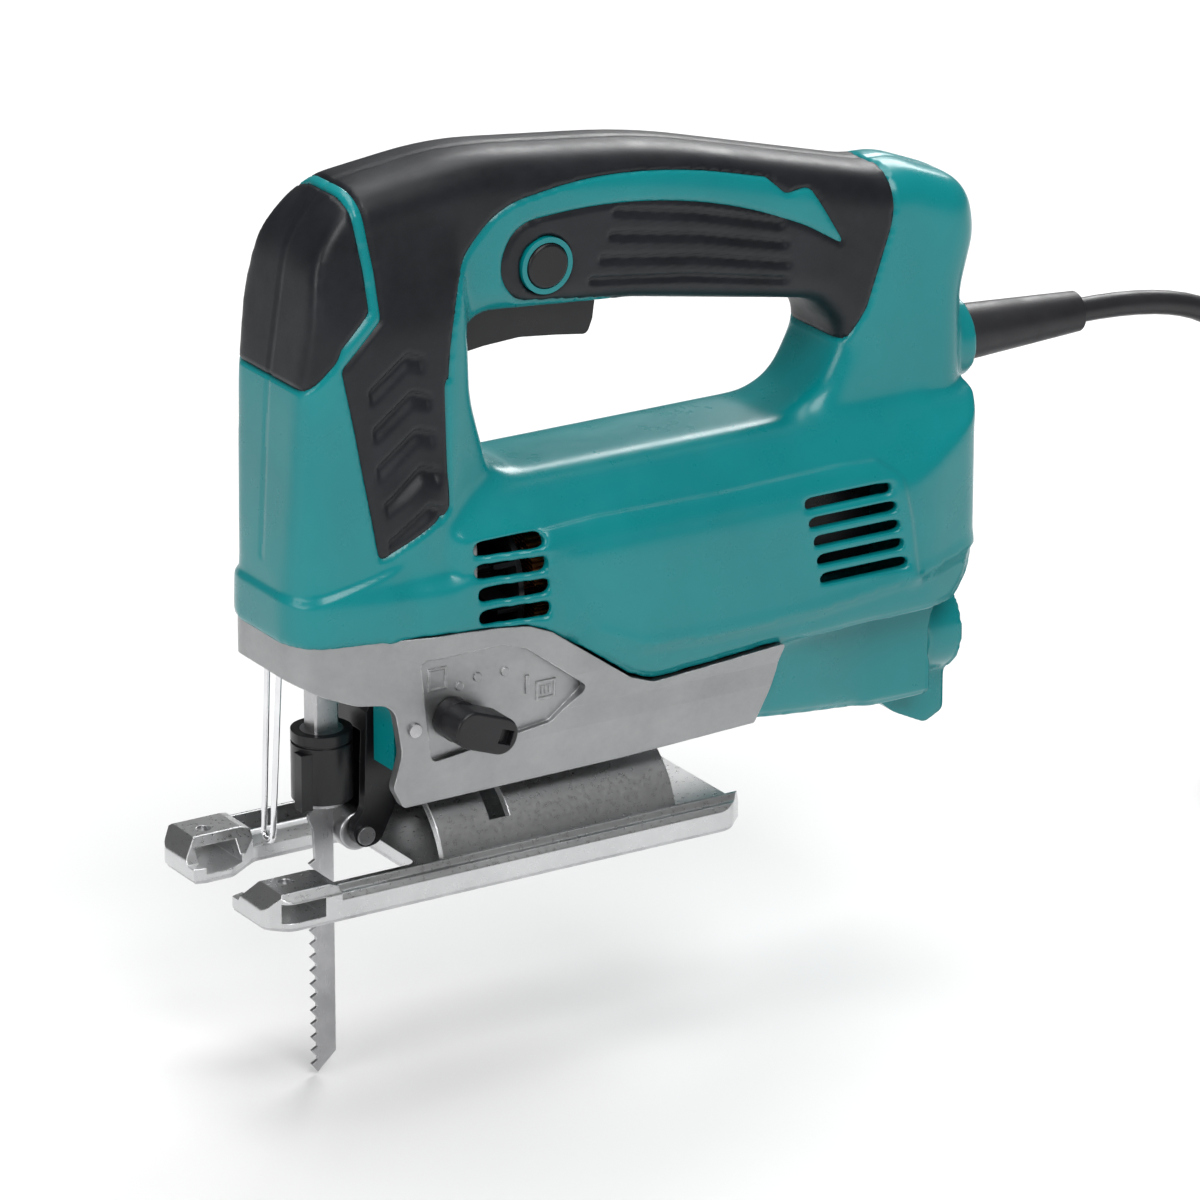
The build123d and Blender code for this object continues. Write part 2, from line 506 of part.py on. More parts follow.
def make_plunger():
    pivot_x, pivot_z = GUIDE_PIVOT
    plate = box((-10.6, -7.2), (-11.0, 11.0), (67.4, pivot_z + 4))
    for low, high in ((67.4, 78.0), (126.0, 137.0)):
        plate += box((-7.4, 8.6), (-8.0, 8.0), (low, high))
    plate += rod_y(3.2, -11.0, 11.0, pivot_x, pivot_z)
    plate -= rod_y(1.5 + RUN, -20, 20, pivot_x, pivot_z)
    bush, pocket = Part(), Part()
    for low, high in ((68.6, 76.8), (127.2, 135.8)):
        block = box((-5.8, 5.8), (-5.4, 5.4), (low, high))
        pocket += block
        bush += block - rod_hole(60, 140, RUN)
    plate -= pocket + rod_hole(60, 140, 0.4)
    keep("guide_plate", plate)
    keep("guide_bushings", bush)
    keep("guide_pin", rod_y(1.5, -17.5, 17.5, pivot_x, pivot_z))

    rod = box((-ROD_X / 2, ROD_X / 2), (-ROD_Y / 2, ROD_Y / 2), (CLAMP_HIGH, 143.5))
    rod = chamfer(rod.edges().filter_by(Axis.Z), 0.6)
    keep("plunger_rod", rod)
    yoke = box((ROD_X / 2, 9.0), (-18.5, 18.5), (YOKE_Z - 6.4, YOKE_Z + 6.4))
    yoke -= box((2, 12), (-12.2, 12.2), (YOKE_Z - 3.1, YOKE_Z + 3.1))
    for y in (-12.2, 12.2):
        yoke -= rod_x(3.1, 2, 12, y=y, z=YOKE_Z)
    keep("yoke", yoke)
    holder = rod_z(HOLDER_R, CLAMP_LOW - 1.6, CLAMP_HIGH)
    holder += rod_z(7.0, CLAMP_LOW - 1.6, CLAMP_LOW - 0.2)
    slot = box((-3.7, 3.7), (-BLADE_T / 2, BLADE_T / 2), (0, 38.4))
    keep("blade_holder", holder - slot)

    profile = [
        (-3.6, 38.2), (3.6, 38.2), (3.6, 19.6), (3.2, 18.6),
        (3.2, -56.5), (-2.9, -62.0),
    ]
    back = [(-3.4, 14.2), (-4.9, 17.4), (-4.9, 18.8), (-3.6, 19.6)]
    teeth = []
    for i in range(16):
        tip = -59.4 + TOOTH_PITCH * i
        teeth += [(-2.9, tip - 2.3), (-4.8, tip), (-2.9, tip + 1.0)]
    side = make_face(Polyline(*profile, *teeth[1:], *back, close=True))
    keep("blade", extrude(Plane.XZ.offset(0.6) * side, amount=-1.2))

    sleeve = rod_z(CLAMP_R, CLAMP_LOW, CLAMP_HIGH) - rod_z(HOLDER_R + RUN, 20, 50)
    sleeve -= rod_z(CLAMP_R + 1, 41.2, 42.0) - rod_z(CLAMP_R - 0.5, 40, 43)
    sleeve += box((-10.2, -6.6), (-6.2, -1.8), (22.6, 40.0)) - rod_z(7.4, 20, 50)
    keep("clamp_sleeve", sleeve)


def make_orbit():
    px, pz = FORK_PIVOT
    rx, rz = ROLLER_AXIS
    arm = [
        (px - 4.6, pz, 0), (px - 2.4, pz + 4.2, 2), (px + 4.0, pz + 3.0, 2), (px + 5.0, pz - 3.0, 2),
        (16.6, 31.0, 6), (20.0, 20.0, 6), (14.4, 9.0, 4), (7.6, 7.9, 4.3), (5.2, 14.6, 4), (9.4, 20.0, 4),
    ]
    fork = prism_y(arm, -8.0, 8.0) - box((-5, 16.9), (-4.8, 4.8), (0, 43.5))
    tail = prism_y([(15.0, 30.0, 0), (17.0, 36.0, 0), (21.4, 34.0, 1), (19.5, 24.0, 1)], -8.0, 8.0)
    fork += tail
    fork -= rod_y(2.0 + RUN, -20, 20, px, pz)
    fork -= rod_y(2.2, -20, 20, rx, rz)
    keep("orbit_fork", fork)
    pin = rod_y(2.2, -8.8, 8.8, rx, rz) + rod_y(2.8, -9.2, -8.2, rx, rz) + rod_y(2.8, 8.2, 9.2, rx, rz)
    keep("roller_pin", pin)
    roller = rod_y(6.0, -4.4, 4.4, rx, rz) - rod_y(2.2 + RUN, -6, 6, rx, rz)
    keep("roller", fillet(roller.edges().filter_by(lambda e: e.length > 30), 0.8))

    lx, lz = LEVER_AXIS
    knob = rod_y(6.2, -31.5, -26.9, lx, lz)
    bar = Pos(lx, 0, lz) * Rot(0, 20, 0) * prism_y(
        [(-6.4, -5.6, 5.5), (14.4, -5.6, 5.5), (14.4, 5.6, 5.5), (-6.4, 5.6, 5.5)], -41.0, -31.0)
    knob += fillet(bar.edges().filter_by(lambda e: e.center().Y < -40.9), 0.8)
    pocket = Pos(lx, 0, lz) * Rot(0, 20, 0) * box((8.2, 12.6), (-45, -38.6), (-2.2, 2.2))
    knob -= pocket
    stem = rod_y(5.0, -27.0, -17.0, lx, lz)
    cam = rod_y(5.0, -17.0, 12.0, lx, lz) - box((lx - 6, lx + 6), (-9, 9), (lz - 6, lz - 1.5))
    keep("orbit_lever", knob + stem)
    keep("lever_cam", cam)


def make_handle_parts():
    x, z = TRIGGER_PIVOT
    shape = [
        (41.6, 172.6, 1), (49.0, 172.6, 2), (52.0, 168.0, 3), (87.6, 163.2, 1), (86.6, 156.0, 3),
        (84.8, 151.6, 2), (74.0, 153.2, 12), (62.0, 154.6, 12), (50.0, 154.0, 12), (42.0, 153.0, 3),
    ]
    trigger = prism_y(shape, -TRIGGER_HALF, TRIGGER_HALF)
    trigger -= rod_y(1.5 + RUN, -20, 20, x, z)
    keep("trigger", trigger)
    keep("trigger_pin", rod_y(1.5, -13.5, 13.5, x, z))
    switch = box((54, 88), (-9, 9), (174.0, 194)) + box((66, 72), (-3, 3), (171.6, 174.5))
    keep("switch_body", switch)
    module = box((147, 180), (-13, 13), (64, 99)) - box((150, 177), (-11, -9), (67, 96))
    keep("control_module", module)
    bx, bz = BUTTON_AXIS
    cap = rod_y(BUTTON_R, -18.6, -13.0, bx, bz)
    cap = fillet(cap.edges().sort_by(Axis.Y)[0], 0.8)
    keep("lock_button", cap + rod_y(3.0, -13.0, -12.8, bx, bz))


def make_shoe():
    half = SHOE_HALF
    rail = mirrored([
        (-half, SOLE_T, 0), (-half, 6.6, 0.8), (-33.6, 8.0, 0.5), (-32.4, 8.2, 0.5), (-31.4, RAIL_TOP, 0.6),
        (-30.2, RAIL_TOP, 0.6), (-28.6, 5.2, 1.5), (-26.0, PLATE_TOP, 2),
    ])
    base = prism_x(rail, SHOE_FRONT, SHOE_REAR)
    # raised prongs at the front
    prong = [
        (half, SOLE_T, 0), (half, 8.6, 1), (32.0, PRONG_TOP, 1), (19.4, PRONG_TOP, 1), (14.6, 4.0, 1),
        (10.0, 4.0, 0.6), (10.0, SOLE_T, 0),
    ]
    for side in (-1, 1):
        base += prism_x([(side * v, w, r) for v, w, r in prong], SHOE_FRONT, -13.6)
    base &= prism_y([
        (SHOE_FRONT, 0.0, 0), (SHOE_FRONT, 6.0, 2),
        (-31.4, PRONG_TOP + 0.5, 1), (-18.0, PRONG_TOP + 0.5, 1),
        (-13.6, RAIL_TOP + 0.2, 2), (SHOE_REAR, RAIL_TOP + 0.2, 3), (SHOE_REAR, 0.0, 0),
    ], -40, 40)
    edge = plan([(SHOE_FRONT, -29.5, 5), (-30.5, -half, 6), (118.0, -half, 8), (SHOE_REAR, -27.0, 8)])
    base &= prism_z(edge, 0, 20)
    notch = plan([
        (-45.0, -14.0, 0), (-33.0, -NOTCH_FRONT_HALF, 3), (-24.0, -NOTCH_FRONT_HALF, 6),
        (-13.0, -NOTCH_BLADE_HALF, 5), (21.0, -NOTCH_BLADE_HALF, 3),
    ])
    base -= prism_z(notch, -5, 20)
    # guide bar slots across both prongs, clamp screw holes, tilt bolt access
    base -= box((-32.6, -19.0), (-40, 40), (2.6, 8.4))
    for side in (-1, 1):
        base -= rod_z(2.1, 8, 14, x=-26.0, y=side * 24.0)
        base -= rod_z(1.6, 0, 14, x=112.0, y=side * 8.0)
    base -= rod_z(6.0, 0, 8, x=BOLT_X)
    # tilt dome
    hollow = rod_x(DOME_R - DOME_T, DOME_FRONT + 3, DOME_REAR - 3)
    base -= hollow & box((0, 140), (-40, 40), (PLATE_TOP, 60))
    dome = rod_x(DOME_R, DOME_FRONT, DOME_REAR) - rod_x(DOME_R - DOME_T, 0, 140)
    dome &= box((0, 140), (-40, 40), (SOLE_T, 60))
    base += dome
    fan_shape = [(0, 0, 0), (-40, 26, 0), (-40, 60, 0), (40, 60, 0), (40, 26, 0)]
    slot = prism_x(fan_shape, BOLT_X - 3.4, BOLT_X + 3.4)
    base -= slot & (rod_x(DOME_R + 2, 0, 140) - rod_x(DOME_R - 6, 0, 140))
    keep("shoe", base)
    rim = plan([
        (SHOE_FRONT + 0.6, -29.2, 5), (-30.2, -34.5, 6), (118.0, -34.5, 8), (SHOE_REAR - 0.6, -26.6, 8),
    ])
    sole = prism_z(rim, 0, SOLE_T)
    sole -= prism_z(notch, -5, 20)
    sole -= rod_z(6.0, -2, 8, x=BOLT_X)
    for side in (-1, 1):
        sole -= rod_z(1.6, -2, 8, x=112.0, y=side * 8.0)
    keep("sole_plate", sole)

    bolt = rod_z(3.0, 22.9, 44.0, x=BOLT_X) + rod_z(5.0, 17.4, 22.9, x=BOLT_X)
    hexagon = Plane.XY.offset(17.4) * Pos(BOLT_X, 0) * RegularPolygon(2.5, 6, major_radius=False)
    keep("tilt_bolt", bolt - extrude(hexagon, amount=3.0))
    inner = DOME_R - DOME_T
    clamp = rod_x(inner - 0.3, BOLT_X - 8, BOLT_X + 8) & box((0, 140), (-8.5, 8.5), (22.9, 40))
    keep("tilt_clamp", clamp - rod_z(3.0, 20, 40, x=BOLT_X))


# ---- cord ----------------------------------------------------------------------------------
CORD_ROUTE = [
    (GUARD_END, 0.0, 125.4), (296.0, 0.0, 125.4), (330.0, 5.0, 106.0),
    (344.0, 19.0, 71.0), (346.0, 33.6, 33.0), (345.5, 36.8, -9.4),
    (342.5, 25.0, -31.4), (339.8, 4.5, -43.9), (339.6, -19.0, -44.4),
]
COIL_CENTRE = (377.3, -4.0)
COIL_IN, COIL_OUT, COIL_H, TIE_T = 28.5, 51.5, 22.6, 1.0
COIL_LOW = FLOOR_Z + TIE_T
PLUG_Z = COIL_LOW + COIL_H + 7.0
PLUG_TURN = 45.0  # the plug lies across the coil's ring at this angle from +X


def cord_radii(points):
    """Each arc is as large as its two runs allow."""
    radii = []
    for a, b, c in zip(points, points[1:], points[2:]):
        a, b, c = Vector(a), Vector(b), Vector(c)
        turn = math.radians((b - a).get_angle(c - b))
        radii.append(0.45 * min((b - a).length, (c - b).length) / math.tan(turn / 2))
    return radii


def make_cord():
    guard = rod_x(11.0, 203.0, 208.0, z=CORD_Z) + rod_x(8.9, 208.0, 219.0, z=CORD_Z)
    guard += loft([
        Plane.YZ.offset(219.0) * Pos(0, CORD_Z) * Circle(8.7),
        Plane.YZ.offset(GUARD_END) * Pos(0, 125.4) * Circle(6.2),
    ])
    keep("cord_guard", guard)
    keep("cord_clamp", box((184, 196), (-10, 10), (CORD_Z + 4.0, CORD_Z + 8.5)))

    path = FilletPolyline(*CORD_ROUTE, radius=cord_radii(CORD_ROUTE))
    start = Plane(origin=CORD_ROUTE[0], z_dir=Vector(CORD_ROUTE[1]) - Vector(CORD_ROUTE[0]))
    keep("cord", sweep(start * Circle(CORD_D / 2), path=path))


def make_coil():
    """The rest of the cord, wound and tied, with the plug lying on it."""
    at = Pos(*COIL_CENTRE, COIL_LOW)
    middle, width = (COIL_IN + COIL_OUT) / 2, COIL_OUT - COIL_IN
    section = Plane.XZ * Pos(middle, COIL_H / 2) * RectangleRounded(width, COIL_H, 6.0)
    keep("cord_coil", at * revolve(section, Axis.Z, 360))
    band = RectangleRounded(width + 2 * TIE_T, COIL_H + 2 * TIE_T, 6.0 + TIE_T)
    band = Plane.XZ * Pos(middle, COIL_H / 2) * (band - RectangleRounded(width, COIL_H, 6.0))
    keep("cord_tie", at * Rot(0, 0, 75) * revolve(band, Axis.Z, 18))

    place = Pos(COIL_CENTRE[0] + 29.5, COIL_CENTRE[1] - 27.9, PLUG_Z) * Rot(0, 0, PLUG_TURN)
    body = extrude(Plane.YZ * RectangleRounded(26.0, 14.0, 6.0), amount=22.0)
    body += loft([
        Plane.YZ.offset(22.0) * RectangleRounded(26.0, 14.0, 6.0),
        Plane.YZ.offset(36.0) * RectangleRounded(31.0, 13.0, 6.0),
    ])
    keep("plug_body", place * body)
    pins = Part()
    for y in (-9.5, 9.5):
        pins += rod_x(2.0, 36.0, 54.2, y=y)
        pins = pins + Pos(54.2, y, 0) * Sphere(2.0)
    keep("plug_pins", place * pins)
    boot = loft([
        Plane.YZ * Circle(6.4),
        Plane(origin=(-24.0, 3.0, -5.0), z_dir=(-1, 0.12, -0.2)) * Circle(4.6),
    ])
    keep("plug_boot", place * boot)


make_shell()
make_gear_housing()
make_wire_guard()
make_motor()
make_drive()
make_plunger()
make_orbit()
make_handle_parts()
make_shoe()
make_cord()
make_coil()

os.makedirs("parts", exist_ok=True)
for name, shape in PARTS.items():
    export_step(shape, f"parts/{name}.step")
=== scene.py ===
"""Looks of the corded jigsaw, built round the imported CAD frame. +X rear, -Y lever side, +Z up.

Objects are in metres. The cord's route, the outlines and the relief are written in millimetres.
"""
import math

import bmesh
import bpy
import numpy as np
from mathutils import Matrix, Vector


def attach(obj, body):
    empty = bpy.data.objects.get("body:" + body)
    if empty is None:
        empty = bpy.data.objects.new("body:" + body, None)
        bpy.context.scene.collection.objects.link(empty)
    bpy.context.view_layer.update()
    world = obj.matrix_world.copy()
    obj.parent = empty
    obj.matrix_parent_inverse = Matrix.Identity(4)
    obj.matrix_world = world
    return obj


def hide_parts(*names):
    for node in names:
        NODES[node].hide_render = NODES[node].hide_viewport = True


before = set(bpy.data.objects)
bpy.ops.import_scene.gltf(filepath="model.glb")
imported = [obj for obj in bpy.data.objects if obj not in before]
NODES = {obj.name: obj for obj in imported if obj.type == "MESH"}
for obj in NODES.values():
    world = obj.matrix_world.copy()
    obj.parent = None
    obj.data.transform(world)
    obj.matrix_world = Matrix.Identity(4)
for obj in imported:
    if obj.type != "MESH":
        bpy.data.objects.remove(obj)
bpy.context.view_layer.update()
MM = 0.001
FLOOR_Z = -0.063


# ---- camera ----------------------------------------------------------------------------------
CAMERA_AZIMUTH = math.radians(-31.8)
CAMERA_ELEVATION = math.radians(20.3)
CAMERA_DISTANCE = 2.34
CAMERA_TARGET = Vector((0.0943, 0.0, 0.0656))
SENSOR_WIDTH_MM = 36.0
LENS_MM = 240.0


def make_camera():
    """The camera stands front left of the tool and a little above it, with a long lens."""
    level = math.cos(CAMERA_ELEVATION)
    back = Vector((
        math.sin(CAMERA_AZIMUTH) * level, -math.cos(CAMERA_AZIMUTH) * level, math.sin(CAMERA_ELEVATION),
    ))
    data = bpy.data.cameras.new("camera")
    data.sensor_width = SENSOR_WIDTH_MM
    data.lens = LENS_MM
    data.clip_start, data.clip_end = 0.05, 20.0
    camera = bpy.data.objects.new("camera", data)
    camera.location = CAMERA_TARGET + back * CAMERA_DISTANCE
    camera.rotation_euler = back.to_track_quat("Z", "Y").to_euler()
    bpy.context.scene.collection.objects.link(camera)
    bpy.context.scene.camera = camera


make_camera()


# ---- materials -------------------------------------------------------------------------------
BEVEL_SAMPLES = 4
WORN_WIDTH = 0.0006
WORN_PATCHES = 260.0


def base_material(name, roughness=0.5, metallic=0.0, specular=0.5, coat=0.0, coat_roughness=0.1):
    """A principled material with its constants set: the material, its node tree and its shader."""
    material = bpy.data.materials.new(name)
    material.use_nodes = True
    tree = material.node_tree
    shader = tree.nodes["Principled BSDF"]
    shader.inputs["Roughness"].default_value = roughness
    shader.inputs["Metallic"].default_value = metallic
    shader.inputs["Specular IOR Level"].default_value = specular
    shader.inputs["Coat Weight"].default_value = coat
    shader.inputs["Coat Roughness"].default_value = coat_roughness
    return material, tree, shader


def place(tree, scale=(1.0, 1.0, 1.0)):
    """Object coordinates, stretched."""
    coords = tree.nodes.new("ShaderNodeTexCoord")
    mapping = tree.nodes.new("ShaderNodeMapping")
    mapping.inputs["Scale"].default_value = scale
    tree.links.new(coords.outputs["Object"], mapping.inputs["Vector"])
    return mapping.outputs["Vector"]


def noise(tree, where, scale, detail=3.0, rough=0.55):
    """A noise value, mostly between 0.3 and 0.7."""
    node = tree.nodes.new("ShaderNodeTexNoise")
    node.inputs["Scale"].default_value = scale
    node.inputs["Detail"].default_value = detail
    node.inputs["Roughness"].default_value = rough
    tree.links.new(where, node.inputs["Vector"])
    return node.outputs["Fac"]


def ramp(tree, value, stops):
    """Colours or greys along a 0 to 1 value."""
    node = tree.nodes.new("ShaderNodeValToRGB")
    elements = node.color_ramp.elements
    while len(elements) < len(stops):
        elements.new(0.5)
    for element, (at, colour) in zip(elements, stops):
        element.position = at
        element.color = (*colour, 1.0)
    tree.links.new(value, node.inputs["Fac"])
    return node.outputs["Color"]


def spread(tree, value, low, high):
    """A noise value from 0.3 to 0.7, mapped to low to high."""
    node = tree.nodes.new("ShaderNodeMapRange")
    node.inputs["From Min"].default_value = 0.3
    node.inputs["From Max"].default_value = 0.7
    node.inputs["To Min"].default_value = low
    node.inputs["To Max"].default_value = high
    tree.links.new(value, node.inputs["Value"])
    return node.outputs["Result"]


def rounded_normal(tree, radius):
    """The surface normal, with sharp edges rounded over by radius."""
    bevel = tree.nodes.new("ShaderNodeBevel")
    bevel.samples = BEVEL_SAMPLES
    bevel.inputs["Radius"].default_value = radius
    return bevel.outputs["Normal"]


def bump(tree, shader, *heights, edge=0.0):
    """Lays (value, distance, strength) bumps over one another, on edges rounded over by edge metres."""
    last = rounded_normal(tree, edge) if edge else None
    for value, distance, strength in heights:
        node = tree.nodes.new("ShaderNodeBump")
        node.inputs["Distance"].default_value = distance
        node.inputs["Strength"].default_value = strength
        tree.links.new(value, node.inputs["Height"])
        if last is not None:
            tree.links.new(last, node.inputs["Normal"])
        last = node.outputs["Normal"]
    tree.links.new(last, shader.inputs["Normal"])


def worn(tree, colour, edge_colour, amount):
    """Blends towards another colour along sharp edges, where the rounded and the true normal part."""
    geometry = tree.nodes.new("ShaderNodeNewGeometry")
    bend = tree.nodes.new("ShaderNodeVectorMath")
    bend.operation = "DOT_PRODUCT"
    tree.links.new(rounded_normal(tree, WORN_WIDTH), bend.inputs[0])
    tree.links.new(geometry.outputs["Normal"], bend.inputs[1])
    full = (amount, amount, amount)
    point = ramp(tree, bend.outputs["Value"], [(0.90, full), (0.985, (0, 0, 0))])
    cloud = noise(tree, place(tree), WORN_PATCHES, 4.0)
    patches = ramp(tree, cloud, [(0.38, (0, 0, 0)), (0.62, (1, 1, 1))])
    both = tree.nodes.new("ShaderNodeMath")
    both.operation = "MULTIPLY"
    tree.links.new(point, both.inputs[0])
    tree.links.new(patches, both.inputs[1])
    mix = tree.nodes.new("ShaderNodeMix")
    mix.data_type = "RGBA"
    mix.inputs["B"].default_value = (*edge_colour, 1.0)
    tree.links.new(both.outputs[0], mix.inputs["Factor"])
    tree.links.new(colour, mix.inputs["A"])
    return mix.outputs["Result"]


def shell_plastic():
    """Glossy moulded nylon in teal, with faint flow marks and a fine orange-peel."""
    material, tree, shader = base_material("teal_nylon", specular=0.42, coat=0.12, coat_roughness=0.15)
    where = place(tree)
    cloud = noise(tree, where, 22.0, 4.0)
    colour = ramp(tree, cloud, [(0.3, (0.0, 0.195, 0.21)), (0.7, (0.0, 0.235, 0.25))])
    tree.links.new(colour, shader.inputs["Base Color"])
    tree.links.new(spread(tree, noise(tree, where, 90.0, 5.0), 0.25, 0.34), shader.inputs["Roughness"])
    bump(
        tree, shader,
        (noise(tree, where, 1500.0, 2.0), 0.00004, 0.07),
        (noise(tree, where, 60.0, 2.0), 0.0003, 0.06),
    )
    return material


def grip_rubber():
    """Soft moulded elastomer, near black, slightly shiny and cloudy where hands polished it."""
    material, tree, shader = base_material("grip_elastomer", specular=0.38)
    where = place(tree)
    cloud = noise(tree, where, 38.0, 8.0, 0.7)
    colour = ramp(tree, cloud, [(0.32, (0.004, 0.005, 0.007)), (0.68, (0.011, 0.013, 0.017))])
    tree.links.new(colour, shader.inputs["Base Color"])
    tree.links.new(spread(tree, noise(tree, where, 60.0, 8.0, 0.75), 0.32, 0.52), shader.inputs["Roughness"])
    bump(
        tree, shader,
        (noise(tree, where, 2200.0, 2.0), 0.00005, 0.5),
        (noise(tree, where, 70.0, 4.0), 0.0004, 0.10),
    )
    return material


def cast_metal(name, dark, light, grain, depth, rough):
    """Die-cast aluminium with a blasted grain and darker and brighter patches."""
    material, tree, shader = base_material(name, metallic=1.0, specular=0.5)
    where = place(tree)
    cloud = noise(tree, where, 30.0, 6.0, 0.65)
    colour = ramp(tree, cloud, [(0.3, dark), (0.7, light)])
    tree.links.new(worn(tree, colour, (0.82, 0.82, 0.83), 0.8), shader.inputs["Base Color"])
    tree.links.new(spread(tree, noise(tree, where, 700.0, 3.0, 0.6), *rough), shader.inputs["Roughness"])
    bump(
        tree, shader,
        (noise(tree, where, grain, 3.0, 0.7), depth, 0.25),
        (noise(tree, where, 60.0, 3.0), 0.0003, 0.05),
        edge=0.0005,
    )
    return material


def turned_steel(name, colour_low, colour_high, rough, stretch=(1.0, 1.0, 1.0)):
    """Machined or ground steel with fine lines along one direction."""
    material, tree, shader = base_material(name, metallic=1.0)
    where = place(tree, stretch)
    lines = noise(tree, where, 900.0, 4.0, 0.7)
    colour = ramp(tree, noise(tree, place(tree), 60.0, 5.0), [(0.3, colour_low), (0.7, colour_high)])
    tree.links.new(worn(tree, colour, (0.85, 0.85, 0.86), 0.5), shader.inputs["Base Color"])
    tree.links.new(spread(tree, lines, *rough), shader.inputs["Roughness"])
    bump(tree, shader, (lines, 0.00004, 0.35), edge=0.0002)
    return material


def plain_plastic(name, low, high, rough, grain=1800.0):
    """Moulded plastic or rubber with a fine spark-eroded grain."""
    material, tree, shader = base_material(name, specular=0.4)
    where = place(tree)
    colour = ramp(tree, noise(tree, where, 45.0, 6.0, 0.65), [(0.3, low), (0.7, high)])
    rubbed = tuple(2 * c + 0.01 for c in high)
    tree.links.new(worn(tree, colour, rubbed, 0.3), shader.inputs["Base Color"])
    tree.links.new(spread(tree, noise(tree, where, 110.0, 5.0), *rough), shader.inputs["Roughness"])
    bump(tree, shader, (noise(tree, where, grain, 2.0), 0.00005, 0.45), edge=0.0004)
    return material


def laminated_steel():
    """Stacked motor sheets seen edge on."""
    material, tree, shader = base_material("laminated_steel", metallic=1.0)
    wave = tree.nodes.new("ShaderNodeTexWave")
    wave.wave_type = "BANDS"
    wave.bands_direction = "X"
    wave.inputs["Scale"].default_value = 320.0
    tree.links.new(place(tree), wave.inputs["Vector"])
    colour = ramp(tree, wave.outputs["Fac"], [(0.2, (0.07, 0.07, 0.075)), (0.8, (0.24, 0.24, 0.25))])
    tree.links.new(colour, shader.inputs["Base Color"])
    tree.links.new(spread(tree, noise(tree, place(tree), 200.0), 0.4, 0.6), shader.inputs["Roughness"])
    bump(tree, shader, (wave.outputs["Fac"], 0.0001, 0.4))
    return material


def wound_copper():
    """Enamelled wire laid side by side."""
    material, tree, shader = base_material("wound_copper", metallic=1.0, coat=0.4)
    wave = tree.nodes.new("ShaderNodeTexWave")
    wave.wave_type = "RINGS"
    wave.rings_direction = "X"
    wave.inputs["Scale"].default_value = 260.0
    wave.inputs["Distortion"].default_value = 1.5
    tree.links.new(place(tree), wave.inputs["Vector"])
    colour = ramp(tree, wave.outputs["Fac"], [(0.1, (0.20, 0.05, 0.015)), (0.9, (0.62, 0.24, 0.09))])
    tree.links.new(colour, shader.inputs["Base Color"])
    tree.links.new(spread(tree, noise(tree, place(tree), 150.0), 0.25, 0.45), shader.inputs["Roughness"])
    bump(tree, shader, (wave.outputs["Fac"], 0.0003, 0.6))
    return material


TEAL = shell_plastic()
GRIP = grip_rubber()
CASE_METAL = cast_metal(
    "blasted_casting", (0.30, 0.305, 0.31), (0.38, 0.385, 0.39), 1500.0, 0.00016, (0.36, 0.46),
)
SHOE_METAL = cast_metal(
    "shoe_casting", (0.52, 0.525, 0.53), (0.62, 0.625, 0.63), 700.0, 0.00008, (0.26, 0.34),
)
STEEL = turned_steel("ground_steel", (0.36, 0.36, 0.37), (0.56, 0.56, 0.57), (0.25, 0.42))
BLADE_STEEL = turned_steel(
    "blade_steel", (0.34, 0.34, 0.35), (0.5, 0.5, 0.51), (0.24, 0.4), (1.0, 1.0, 0.12),
)
CHROME = turned_steel("bright_wire", (0.72, 0.72, 0.74), (0.85, 0.85, 0.86), (0.06, 0.16))
BRASS = turned_steel("brass", (0.42, 0.28, 0.09), (0.62, 0.44, 0.16), (0.25, 0.4))
BLACK = plain_plastic("black_nylon", (0.006, 0.006, 0.007), (0.011, 0.011, 0.013), (0.26, 0.36))
RUBBER = plain_plastic("black_rubber", (0.010, 0.010, 0.012), (0.022, 0.022, 0.025), (0.35, 0.55))
CORD_SKIN = plain_plastic("cord_jacket", (0.012, 0.012, 0.014), (0.024, 0.024, 0.027), (0.3, 0.46), 1200.0)
CARBON = plain_plastic("carbon", (0.02, 0.02, 0.02), (0.05, 0.05, 0.05), (0.5, 0.7))
LAMINATED = laminated_steel()
COPPER = wound_copper()

NODE_MATERIAL = {
    TEAL: ["housing_left", "housing_right", "button_ring", "air_duct"],
    GRIP: ["grip_left", "grip_right", "nose_pad"],
    CASE_METAL: ["gear_housing", "guide_plate", "balance_weight"],
    SHOE_METAL: ["shoe"],
    STEEL: [
        "housing_screws", "gear_housing_screws", "fork_pin", "gear_pin", "guide_pin", "trigger_pin",
        "front_bearing", "rear_bearing", "tilt_bolt", "tilt_clamp", "armature_shaft", "drive_gear",
        "crank_pin", "plunger_rod", "yoke", "blade_holder", "roller", "roller_pin", "lever_cam",
        "sole_plate", "plug_pins",
    ],
    BLADE_STEEL: ["blade"],
    CHROME: ["wire_guard"],
    BRASS: ["guide_bushings", "brush_holders"],
    BLACK: [
        "switch_body", "control_module", "cord_clamp", "fan", "clamp_sleeve", "orbit_fork", "orbit_lever",
        "trigger", "lock_button", "cord_tie", "plug_body",
    ],
    RUBBER: ["plunger_seal", "cord_guard", "plug_boot"],
    CORD_SKIN: ["cord", "cord_coil"],
    CARBON: ["carbon_brushes"],
    LAMINATED: ["field_stator", "armature_core"],
    COPPER: ["field_coils", "armature_windings", "commutator"],
}


def dress_nodes():
    """Gives every CAD node its material."""
    for material, names in NODE_MATERIAL.items():
        for name in names:
            mesh = NODES[name].data
            mesh.materials.clear()
            mesh.materials.append(material)


dress_nodes()


